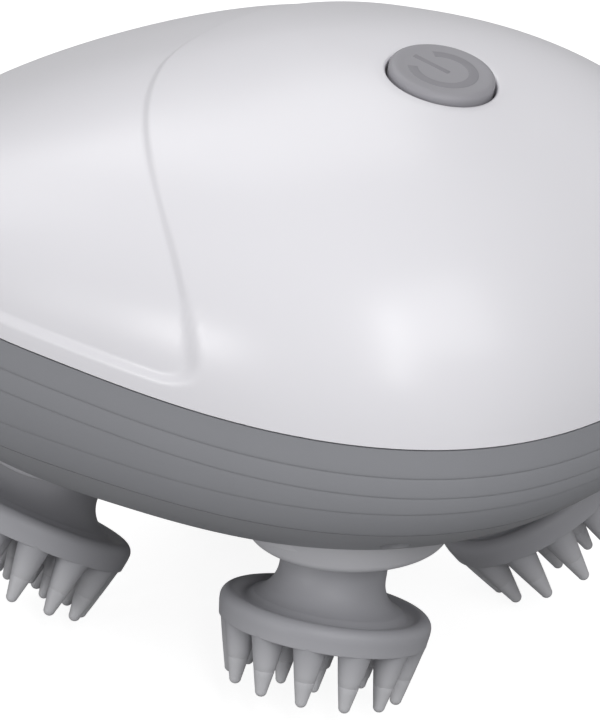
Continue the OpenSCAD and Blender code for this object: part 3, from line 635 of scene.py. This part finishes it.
def claw_rings_tree():
    """Geometry Nodes: sets the claw in an outer ring, an inner ring and the middle."""
    tree = bpy.data.node_groups.new("claw_rings", "GeometryNodeTree")
    face = tree.interface
    face.new_socket("Geometry", in_out="INPUT", socket_type="NodeSocketGeometry")
    sizes = [
        ("Outer Count", "NodeSocketInt", OUTER_CLAWS),
        ("Outer Ring", "NodeSocketFloat", OUTER_RING * MM),
        ("Outer Lean", "NodeSocketFloat", CLAW_LEAN),
        ("Inner Count", "NodeSocketInt", INNER_CLAWS),
        ("Inner Ring", "NodeSocketFloat", INNER_RING * MM),
        ("Inner Scale", "NodeSocketFloat", INNER_SCALE),
        ("Drop", "NodeSocketFloat", (SKIRT_DROP - CLAW_SUNK) * MM),
    ]
    for label, kind, value in sizes:
        face.new_socket(label, in_out="INPUT", socket_type=kind).default_value = value
    face.new_socket("Finish", in_out="INPUT", socket_type="NodeSocketMaterial")
    face.new_socket("Geometry", in_out="OUTPUT", socket_type="NodeSocketGeometry")
    nodes, links = tree.nodes, tree.links
    source = nodes.new("NodeGroupInput")
    sink = nodes.new("NodeGroupOutput")
    joined = nodes.new("GeometryNodeJoinGeometry")

    def lowered(geometry):
        """Moves claws down to the skirt and joins them to the rest."""
        move = nodes.new("GeometryNodeTransform")
        drop = nodes.new("ShaderNodeMath")
        drop.operation = "MULTIPLY"
        drop.inputs[1].default_value = -1.0
        place = nodes.new("ShaderNodeCombineXYZ")
        links.new(source.outputs["Drop"], drop.inputs[0])
        links.new(drop.outputs[0], place.inputs["Z"])
        links.new(place.outputs[0], move.inputs["Translation"])
        links.new(geometry, move.inputs["Geometry"])
        links.new(move.outputs[0], joined.inputs[0])

    def ring(count, radius, lean, scale, offset):
        """Sets claws at even steps round a circle, each turned and leant outwards."""
        circle = nodes.new("GeometryNodeMeshCircle")
        links.new(count, circle.inputs["Vertices"])
        links.new(radius, circle.inputs["Radius"])
        index = nodes.new("GeometryNodeInputIndex")
        part = nodes.new("ShaderNodeMath")
        part.operation = "DIVIDE"
        links.new(index.outputs[0], part.inputs[0])
        links.new(count, part.inputs[1])
        angle = nodes.new("ShaderNodeMath")
        angle.operation = "MULTIPLY"
        angle.inputs[1].default_value = 2 * math.pi
        links.new(part.outputs[0], angle.inputs[0])
        turn = nodes.new("ShaderNodeCombineXYZ")
        if lean is not None:
            links.new(lean, turn.inputs["Y"])
        links.new(angle.outputs[0], turn.inputs["Z"])
        rotation = nodes.new("FunctionNodeEulerToRotation")
        links.new(turn.outputs[0], rotation.inputs[0])
        spread = nodes.new("GeometryNodeInstanceOnPoints")
        links.new(circle.outputs["Mesh"], spread.inputs["Points"])
        links.new(source.outputs["Geometry"], spread.inputs["Instance"])
        links.new(rotation.outputs[0], spread.inputs["Rotation"])
        if scale is not None:
            links.new(scale, spread.inputs["Scale"])
        spin = nodes.new("GeometryNodeTransform")
        spin.inputs["Rotation"].default_value = (0.0, 0.0, offset)
        links.new(spread.outputs[0], spin.inputs["Geometry"])
        lowered(spin.outputs[0])

    size = source.outputs
    ring(size["Outer Count"], size["Outer Ring"], size["Outer Lean"], None, 0.0)
    ring(size["Inner Count"], size["Inner Ring"], None, size["Inner Scale"], math.pi / INNER_CLAWS)
    middle = nodes.new("GeometryNodeTransform")
    links.new(size["Geometry"], middle.inputs["Geometry"])
    links.new(size["Inner Scale"], middle.inputs["Scale"])
    lowered(middle.outputs[0])
    realize = nodes.new("GeometryNodeRealizeInstances")
    finish = nodes.new("GeometryNodeSetMaterial")
    links.new(joined.outputs[0], realize.inputs[0])
    links.new(realize.outputs[0], finish.inputs["Geometry"])
    links.new(source.outputs["Finish"], finish.inputs["Material"])
    links.new(finish.outputs[0], sink.inputs[0])
    return tree


def set_claws(tree, material):
    """The rings of claws below one head's skirt, as a plain mesh."""
    claws = bpy.data.objects.new("claws", claw_mesh("claw"))
    bpy.context.scene.collection.objects.link(claws)
    rings = claws.modifiers.new("claw_rings", "NODES")
    rings.node_group = tree
    finish_id = next(i.identifier for i in tree.interface.items_tree if i.name == "Finish")
    rings[finish_id] = material
    apply_modifiers(claws)
    mesh = claws.data
    bpy.data.objects.remove(claws)
    return mesh


def massage_heads(material):
    """The four heads, each with its claws; a share that grows down the claws sets how much painted light
    the finish puts on them.
    """
    claws = set_claws(claw_rings_tree(), material)
    points, faces = revolve(head_profile(), 96)
    body = bpy.data.meshes.new("head_body")
    body.from_pydata([tuple(p) for p in points * MM], [], faces)
    for corner, name in enumerate(CORNERS):
        both = bmesh.new()
        share = both.verts.layers.float.new("claw_painted_light")
        both.from_mesh(body)
        both.from_mesh(claws)
        for vert in both.verts:
            # Painted light: this share rises down the claws, and the finish paints them paler by it.
            down = (-vert.co.z / MM - SKIRT_DROP + 1.0) / (TIP_DROP - SKIRT_DROP)
            vert[share] = 0.75 * float(smoothstep(0.0, 1.0, down)) ** 0.7
        bmesh.ops.transform(both, matrix=scaled(head_matrix(corner)), verts=both.verts)
        bmesh.ops.recalc_face_normals(both, faces=both.faces)
        mesh = bpy.data.meshes.new("head")
        both.to_mesh(mesh)
        both.free()
        head = bpy.data.objects.new("claw_head_" + name, mesh)
        bpy.context.scene.collection.objects.link(head)
        finish_mesh(head, material, 45.0)
        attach(head, "head_" + name)
        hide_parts("massage_head_" + name)
    bpy.data.meshes.remove(claws)
    bpy.data.meshes.remove(body)


# ---- Power button ------------------------------------------------------------------------------------


def button_cap(material):
    """Round key with a soft rolled edge, a flat face a hair below its rim, and its skirt in the shell."""
    roll = 0.85
    face = BUTTON_PROUD - FACE_DROP
    profile = [(0.0, -BUTTON_DEPTH), (BUTTON_RADIUS - 0.9, -BUTTON_DEPTH)]
    profile += [(BUTTON_RADIUS - 0.05, 0.1 - BUTTON_DEPTH), (BUTTON_RADIUS, -BUTTON_DEPTH / 2)]
    profile += arc((BUTTON_RADIUS - roll, BUTTON_PROUD - roll), roll, 0, 82, 9)
    profile += [(BUTTON_RADIUS - 1.3, BUTTON_PROUD - 0.02), (BUTTON_RADIUS - 1.8, face + 0.02)]
    profile += [(BUTTON_RADIUS - 2.4, face), (0.0, face)]
    points, faces = revolve(profile, 120)
    place = button_matrix()
    points = [place @ Vector(p) for p in points]
    cap = mesh_piece("power_button_cap", points, faces, material, "button", 40.0)
    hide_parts("power_button")


def raised_outline(name, outline, height, material, body, place):
    """A flat raised shape with a soft edge from a closed outline in millimetres."""
    outline = np.asarray(outline)
    count = len(outline)
    way = np.roll(outline, -1, 0) - np.roll(outline, 1, 0)
    way /= np.linalg.norm(way, axis=1, keepdims=True)
    inward = np.stack([-way[:, 1], way[:, 0]], -1)
    sunk = 0.3
    rings = []
    for inset, z in ((0.0, -sunk), (0.0, height * 0.3), (0.05, height * 0.8), (0.12, height)):
        rings.append(np.column_stack([outline + inward * inset, np.full(count, z)]))
    points = [place @ Vector(p) for p in np.concatenate(rings)]
    faces = ring_faces(len(rings), count)
    top = (len(rings) - 1) * count
    faces.append(tuple(top + j for j in range(count)))
    faces.append(tuple(reversed(range(count))))
    piece = mesh_piece(name, points, faces, material, body, 60.0)


def power_symbol(material):
    """Ring open towards the tail and a bar out of its gap, on the button's face."""
    place = button_matrix() @ Matrix.Translation((0.0, 0.0, BUTTON_PROUD - FACE_DROP))
    height = 0.05
    radius, half_width, half_gap = 4.3, 0.72, 38.0
    outer = arc((0.0, 0.0), radius + half_width, half_gap - 180, 180 - half_gap, 71)
    inner = arc((0.0, 0.0), radius - half_width, 180 - half_gap, half_gap - 180, 71)
    raised_outline("power_ring", outer + inner, height, material, "button", place)
    start, end, half = 1.0, -4.9, 0.45
    bar = [(start, -half), (start, half), (end, half), (end, -half)]
    raised_outline("power_bar", bar, height, material, "button", place)


# ---- Finishes ----------------------------------------------------------------------------------------


def grain_group():
    """Fine moulded grain: a height and a slow change of tone."""
    group = bpy.data.node_groups.new("moulded_grain", "ShaderNodeTree")
    face = group.interface
    face.new_socket("Vector", in_out="INPUT", socket_type="NodeSocketVector")
    for label, value in (("Grain Size", 0.0004), ("Patch Size", 0.02)):
        face.new_socket(label, in_out="INPUT", socket_type="NodeSocketFloat").default_value = value
    face.new_socket("Height", in_out="OUTPUT", socket_type="NodeSocketFloat")
    face.new_socket("Tone", in_out="OUTPUT", socket_type="NodeSocketFloat")
    nodes, links = group.nodes, group.links
    source, sink = nodes.new("NodeGroupInput"), nodes.new("NodeGroupOutput")
    for label, output, detail in (("Grain Size", "Height", 3.0), ("Patch Size", "Tone", 2.0)):
        inverse = nodes.new("ShaderNodeMath")
        inverse.operation = "DIVIDE"
        inverse.inputs[0].default_value = 1.0
        links.new(source.outputs[label], inverse.inputs[1])
        noise = nodes.new("ShaderNodeTexNoise")
        noise.inputs["Detail"].default_value = detail
        links.new(source.outputs["Vector"], noise.inputs["Vector"])
        links.new(inverse.outputs[0], noise.inputs["Scale"])
        links.new(noise.outputs["Fac"], sink.inputs[output])
    return group


def flake_group():
    """Mica flakes of a pearl lacquer: a height and a random glint for each tiny cell."""
    group = bpy.data.node_groups.new("pearl_flake", "ShaderNodeTree")
    face = group.interface
    face.new_socket("Vector", in_out="INPUT", socket_type="NodeSocketVector")
    face.new_socket("Flake Size", in_out="INPUT", socket_type="NodeSocketFloat").default_value = 0.0003
    face.new_socket("Height", in_out="OUTPUT", socket_type="NodeSocketFloat")
    face.new_socket("Glint", in_out="OUTPUT", socket_type="NodeSocketFloat")
    nodes, links = group.nodes, group.links
    source, sink = nodes.new("NodeGroupInput"), nodes.new("NodeGroupOutput")
    inverse = nodes.new("ShaderNodeMath")
    inverse.operation = "DIVIDE"
    inverse.inputs[0].default_value = 1.0
    links.new(source.outputs["Flake Size"], inverse.inputs[1])
    cells = nodes.new("ShaderNodeTexVoronoi")
    links.new(source.outputs["Vector"], cells.inputs["Vector"])
    links.new(inverse.outputs[0], cells.inputs["Scale"])
    split = nodes.new("ShaderNodeSeparateColor")
    links.new(cells.outputs["Color"], split.inputs[0])
    links.new(cells.outputs["Distance"], sink.inputs["Height"])
    links.new(split.outputs[0], sink.inputs["Glint"])
    return group


# The shader groups, made once by finishes().
GROUPS = {}


def finish(name, colour, rough, grain=0.0004, bump=0.02, patch=0.02, tone=0.04, **sockets):
    """A moulded finish: one colour with a slow tone change, grain in the bump and the roughness."""
    material = bpy.data.materials.new(name)
    material.use_nodes = True
    nodes, links = material.node_tree.nodes, material.node_tree.links
    shader = nodes["Principled BSDF"]
    place = nodes.new("ShaderNodeTexCoord")
    group = nodes.new("ShaderNodeGroup")
    group.node_tree = GROUPS["grain"]
    group.inputs["Grain Size"].default_value = grain
    group.inputs["Patch Size"].default_value = patch
    links.new(place.outputs["Object"], group.inputs["Vector"])
    shade = nodes.new("ShaderNodeMix")
    shade.data_type = "RGBA"
    dark = tuple(c * (1 - tone) for c in colour)
    light = tuple(min(c * (1 + tone), 1.0) for c in colour)
    shade.inputs["A"].default_value = (*dark, 1.0)
    shade.inputs["B"].default_value = (*light, 1.0)
    links.new(group.outputs["Tone"], shade.inputs["Factor"])
    links.new(shade.outputs["Result"], shader.inputs["Base Color"])
    swing = 0.05
    spread = nodes.new("ShaderNodeMapRange")
    spread.inputs["To Min"].default_value = max(rough - swing, 0.02)
    spread.inputs["To Max"].default_value = min(rough + swing, 1.0)
    links.new(group.outputs["Height"], spread.inputs["Value"])
    links.new(spread.outputs["Result"], shader.inputs["Roughness"])
    relief = nodes.new("ShaderNodeBump")
    relief.inputs["Strength"].default_value = 1.0
    relief.inputs["Distance"].default_value = bump * MM
    links.new(group.outputs["Height"], relief.inputs["Height"])
    links.new(relief.outputs["Normal"], shader.inputs["Normal"])
    for label, value in sockets.items():
        shader.inputs[label.replace("_", " ")].default_value = value
    return material


def pearl_finish(name, colour, rough):
    """White pearl lacquer: a soft sheen broken up by tiny flakes, under a thin clear coat."""
    material = finish(name, colour, rough, grain=0.0006, bump=0.002, patch=0.03, tone=0.012)
    nodes, links = material.node_tree.nodes, material.node_tree.links
    shader = nodes["Principled BSDF"]
    place = next(n for n in nodes if n.type == "TEX_COORD")
    flakes = nodes.new("ShaderNodeGroup")
    flakes.node_tree = GROUPS["flake"]
    flakes.inputs["Flake Size"].default_value = 0.00028
    links.new(place.outputs["Object"], flakes.inputs["Vector"])
    relief = nodes.new("ShaderNodeBump")
    relief.inputs["Strength"].default_value = 1.0
    relief.inputs["Distance"].default_value = 0.0012 * MM
    links.new(flakes.outputs["Height"], relief.inputs["Height"])
    links.new(relief.outputs["Normal"], shader.inputs["Normal"])
    swing = 0.03
    glint = nodes.new("ShaderNodeMapRange")
    glint.inputs["To Min"].default_value = rough - swing
    glint.inputs["To Max"].default_value = rough + swing
    links.new(flakes.outputs["Glint"], glint.inputs["Value"])
    links.new(glint.outputs["Result"], shader.inputs["Roughness"])
    shader.inputs["Specular IOR Level"].default_value = 0.5
    shader.inputs["Coat Weight"].default_value = 0.12
    shader.inputs["Coat Roughness"].default_value = 0.22
    return material


def head_finish(name, colour, painted_tip_light):
    """Soft silicone with painted light: its colour is blended towards a paler one down the claws, standing
    in for the light that the claws catch.
    """
    material = finish(name, colour, 0.5, bump=0.008, Specular_IOR_Level=0.4)
    nodes, links = material.node_tree.nodes, material.node_tree.links
    shader = nodes["Principled BSDF"]
    shade = shader.inputs["Base Color"].links[0].from_socket
    # Painted light: the colour is mixed towards a paler one by each point's share down the claws.
    share = nodes.new("ShaderNodeAttribute")
    share.attribute_name = "claw_painted_light"
    blend = nodes.new("ShaderNodeMix")
    blend.data_type = "RGBA"
    blend.inputs["B"].default_value = (*painted_tip_light, 1.0)
    links.new(share.outputs["Fac"], blend.inputs["Factor"])
    links.new(shade, blend.inputs["A"])
    links.new(blend.outputs["Result"], shader.inputs["Base Color"])
    return material


def finishes():
    """Every finish by its short name."""
    GROUPS["grain"] = grain_group()
    GROUPS["flake"] = flake_group()
    return {
        "pearl": pearl_finish("pearl_lacquer", (0.785, 0.777, 0.815), 0.33),
        "band": finish("band_silicone", (0.268, 0.272, 0.292), 0.62, bump=0.012, Specular_IOR_Level=0.3),
        "belly": finish("belly_plastic", (0.26, 0.263, 0.28), 0.55, bump=0.01, Specular_IOR_Level=0.35),
        "cup": finish("cup_plastic", (0.46, 0.46, 0.485), 0.5, bump=0.006, Specular_IOR_Level=0.4),
        # The second colour is painted light, blended in down the claws.
        "head": head_finish("head_silicone", (0.345, 0.345, 0.37), (0.58, 0.58, 0.6)),
        "button": finish("button_plastic", (0.325, 0.32, 0.345), 0.5, bump=0.008, Specular_IOR_Level=0.35),
        "symbol": finish("symbol_plastic", (0.27, 0.266, 0.288), 0.6, bump=0.006, Specular_IOR_Level=0.3),
        "inner": finish("inner_plastic", (0.7, 0.7, 0.66), 0.55),
        "gear": finish("gear_plastic", (0.8, 0.79, 0.74), 0.45),
        "dark": finish("dark_plastic", (0.03, 0.03, 0.032), 0.5),
        "rubber": finish("seal_rubber", (0.025, 0.025, 0.028), 0.7),
        "steel": finish("ground_steel", (0.6, 0.6, 0.62), 0.3, bump=0.003, Metallic=1.0),
        "bronze": finish("sintered_bronze", (0.6, 0.4, 0.18), 0.45, bump=0.01, Metallic=1.0),
        "board": finish("board_lacquer", (0.02, 0.13, 0.05), 0.35),
        "sleeve": finish("cell_sleeve", (0.05, 0.1, 0.3), 0.35),
    }


# Finish of each node in the frame. A node that isn't listed by its full name goes by its start.
NODE_FINISH = {
    "top_shell": "pearl", "grip_band": "band", "lower_housing": "belly", "seal_ring": "rubber",
    "housing_screws": "steel", "chassis": "inner", "chassis_screws": "steel", "bearing_cup": "cup",
    "shaft_bushes": "bronze", "shaft_seals": "rubber", "drive_bushes": "bronze", "motor_case": "steel",
    "battery_cell": "sleeve", "battery_cradle": "inner", "control_board": "board", "switch_base": "dark",
    "board_screws": "steel", "charge_socket": "steel", "port_plug": "band", "worm": "steel",
    "drive_axle": "steel", "sun_gear": "gear", "worm_wheel": "gear", "power_button": "button",
    "switch_plunger": "dark", "output_shaft": "steel", "shaft_gear": "gear", "head_hub": "inner",
    "massage_head": "head",
}


def dress_frame(frame, looks):
    """Gives every node that the frame brings its finish."""
    for name, node in frame["nodes"].items():
        key = name if name in NODE_FINISH else next(k for k in NODE_FINISH if name.startswith(k))
        look = looks[NODE_FINISH[key]]
        if node.material_slots:
            for slot in node.material_slots:
                slot.material = look
        else:
            node.data.materials.append(look)


# ---- Studio and camera --------------------------------------------------------------------------------


# The photograph's view: turn, downward tilt and roll in degrees, and the camera's place in
# millimetres from the middle of the head pivots, to the right, up and back along its own axes.
VIEW_TURN = 34.03
VIEW_TILT = 24.33
VIEW_ROLL = -1.91
VIEW_RIGHT = 1.75
VIEW_UP = 14.2
VIEW_BACK = 1212.8
# Focal length in pixels of a picture of this height.
FOCAL_PIXELS = 8527.0
PICTURE_HEIGHT = 720.0
SENSOR = 36.0


def camera_axes():
    """The camera's place in millimetres and its right, up and forward axes."""
    turn, tilt, roll = map(math.radians, (VIEW_TURN, VIEW_TILT, VIEW_ROLL))
    right = np.array([math.cos(turn), math.sin(turn), 0.0])
    level = np.array([-math.sin(turn), math.cos(turn), 0.0])
    z = np.array([0.0, 0.0, 1.0])
    forward = level * math.cos(tilt) - z * math.sin(tilt)
    up = level * math.sin(tilt) + z * math.cos(tilt)
    place = right * VIEW_RIGHT + up * VIEW_UP - forward * VIEW_BACK + z * PIVOT_HEIGHT
    rolled_right = right * math.cos(roll) - up * math.sin(roll)
    rolled_up = up * math.cos(roll) + right * math.sin(roll)
    return place, rolled_right, rolled_up, forward


def photo_camera():
    """The camera that sees the object as the photograph does."""
    place, right, up, forward = camera_axes()
    data = bpy.data.cameras.new("photo_camera")
    data.sensor_fit = "AUTO"
    data.sensor_width = SENSOR
    data.lens = FOCAL_PIXELS / PICTURE_HEIGHT * SENSOR
    data.clip_start = 0.05
    data.clip_end = 20.0
    camera = bpy.data.objects.new("photo_camera", data)
    matrix = Matrix([right, up, -forward]).transposed().to_4x4()
    matrix.translation = Vector(place) * MM
    camera.matrix_world = matrix
    bpy.context.scene.collection.objects.link(camera)
    bpy.context.scene.camera = camera


def soft_lamp(name, turn, rise, away, width, height, power):
    """A softbox aimed at the object from a turn about Z and a rise in degrees, sizes in metres."""
    data = bpy.data.lights.new(name, "AREA")
    data.shape = "RECTANGLE"
    data.size, data.size_y = width, height
    data.energy = power
    lamp = bpy.data.objects.new(name, data)
    turn, rise = math.radians(turn), math.radians(rise)
    way = Vector((math.cos(turn) * math.cos(rise), math.sin(turn) * math.cos(rise), math.sin(rise)))
    lamp.rotation_euler = (-way).to_track_quat("-Z", "Y").to_euler()
    lamp.location = way * away + Vector((0.0, 0.0, LAMP_AIM))
    bpy.context.scene.collection.objects.link(lamp)


# Name, turn and rise in degrees, distance, width and height in metres, power in watts.
SOFTBOXES = [
    ("strip_softbox", -48.0, 27.0, 1.5, 0.18, 1.2, 5.2),
    ("right_softbox", -24.0, 42.0, 1.4, 1.0, 1.0, 6.8),
    ("left_softbox", -107.0, 8.0, 1.4, 0.4, 0.4, 4.0),
    ("far_left_softbox", 178.0, 34.0, 1.4, 1.0, 0.8, 2.8),
    ("rear_overhead_softbox", 138.0, 54.0, 1.4, 1.0, 0.8, 4.2),
]
# Height that the softboxes are aimed at.
LAMP_AIM = 0.06
WORLD_LEVEL = 0.36
FLOOR_TONE = 0.42
FLOOR_GLOW = 0.87
FLOOR_REACH = 4.0
WHITE = (1.0, 1.0, 1.0, 1.0)


def white_world():
    """A surround that the camera sees as white, and that lights the object more softly."""
    world = bpy.data.worlds.new("studio_white")
    bpy.context.scene.world = world
    world.use_nodes = True
    nodes, links = world.node_tree.nodes, world.node_tree.links
    nodes.clear()
    out = nodes.new("ShaderNodeOutputWorld")
    sky = nodes.new("ShaderNodeBackground")
    sky.inputs["Color"].default_value = WHITE
    path = nodes.new("ShaderNodeLightPath")
    level = nodes.new("ShaderNodeMapRange")
    level.inputs["To Min"].default_value = WORLD_LEVEL
    level.inputs["To Max"].default_value = 1.0
    links.new(path.outputs["Is Camera Ray"], level.inputs["Value"])
    links.new(level.outputs["Result"], sky.inputs["Strength"])
    links.new(sky.outputs[0], out.inputs["Surface"])


def white_floor():
    """A grey floor, for its soft reflected light, that glows to white for the camera alone."""
    mesh = bpy.data.meshes.new("studio_floor")
    reach = FLOOR_REACH
    corners = [(-reach, -reach, 0), (reach, -reach, 0), (reach, reach, 0), (-reach, reach, 0)]
    mesh.from_pydata(corners, [], [(0, 1, 2, 3)])
    floor = bpy.data.objects.new("studio_floor", mesh)
    bpy.context.scene.collection.objects.link(floor)
    paper = bpy.data.materials.new("white_paper")
    paper.use_nodes = True
    nodes, links = paper.node_tree.nodes, paper.node_tree.links
    shader = nodes["Principled BSDF"]
    shader.inputs["Base Color"].default_value = (FLOOR_TONE, FLOOR_TONE, FLOOR_TONE, 1.0)
    shader.inputs["Roughness"].default_value = 0.9
    shader.inputs["Specular IOR Level"].default_value = 0.1
    shader.inputs["Emission Color"].default_value = WHITE
    path = nodes.new("ShaderNodeLightPath")
    glow = nodes.new("ShaderNodeMath")
    glow.operation = "MULTIPLY"
    glow.inputs[1].default_value = FLOOR_GLOW
    links.new(path.outputs["Is Camera Ray"], glow.inputs[0])
    links.new(glow.outputs[0], shader.inputs["Emission Strength"])
    mesh.materials.append(paper)


def studio():
    """White surround and floor, and plain soft lamps at an ordinary level."""
    bpy.context.scene.view_settings.view_transform = "Standard"
    white_world()
    white_floor()
    for softbox in SOFTBOXES:
        soft_lamp(*softbox)


# ---- The scene -----------------------------------------------------------------------------------------


def main():
    """Builds the scene."""
    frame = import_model()
    photo_camera()
    studio()
    looks = finishes()
    dress_frame(frame, looks)
    dome_shell(looks["pearl"])
    grip_band(looks["band"])
    belly(looks["belly"])
    cup_collars(looks["cup"])
    massage_heads(looks["head"])
    button_cap(looks["button"])
    power_symbol(looks["symbol"])
    bpy.context.view_layer.update()


main()
